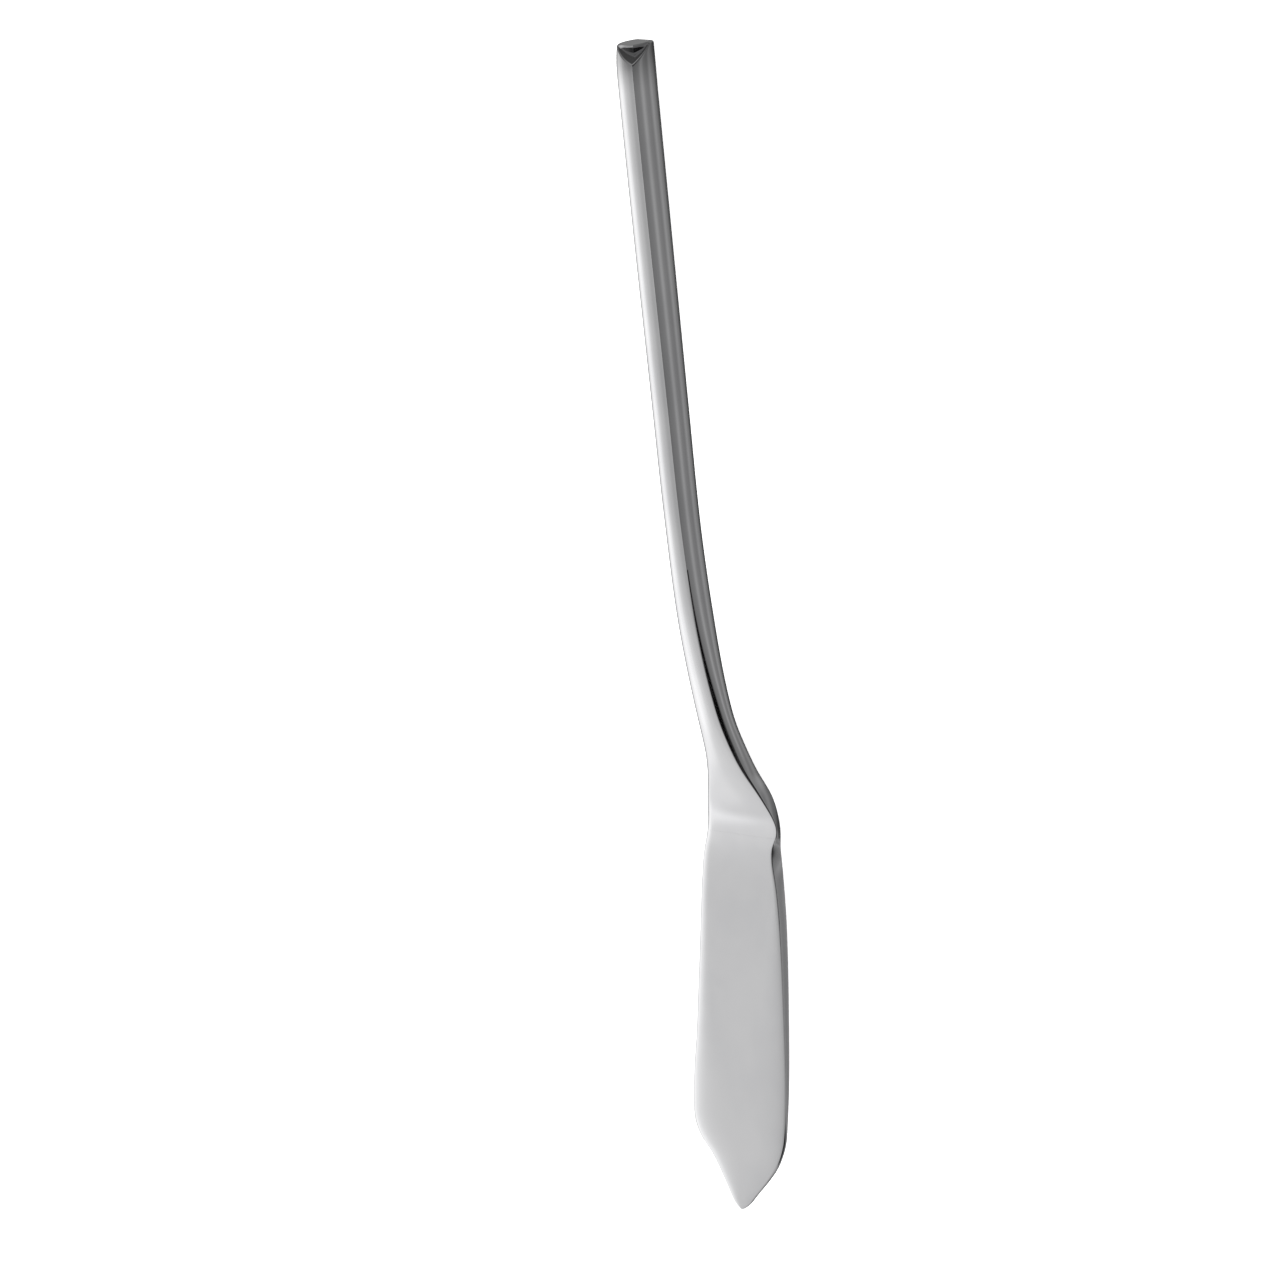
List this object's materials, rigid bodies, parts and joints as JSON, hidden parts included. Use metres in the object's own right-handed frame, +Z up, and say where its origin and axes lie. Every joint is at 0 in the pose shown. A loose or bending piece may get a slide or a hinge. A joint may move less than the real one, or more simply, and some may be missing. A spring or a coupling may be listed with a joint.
{
  "type": "fish knife",
  "caption": "Polished steel fish knife with a slim four-sided handle, a cranked neck, a flared shoulder and a flat leaf-shaped blade; also a butter or spreading knife.",
  "frame": {"origin": "middle of the knife's footprint, on the table that it rests on", "axes": "+X towards the handle's end and -X towards the tip, -Y towards the spine and +Y towards the working edge, +Z up, with the knife's front face upwards"},
  "size_m": [0.2064, 0.0226, 0.0137],
  "materials": {
    "mirror_steel": "mirror-polished stainless steel",
    "satin_steel": "stainless steel polished along the blade, a little softer than the handle"
  },
  "bodies": {
    "root": {"handle": "mirror_steel", "blade": "satin_steel"}
  },
  "joints": []
}
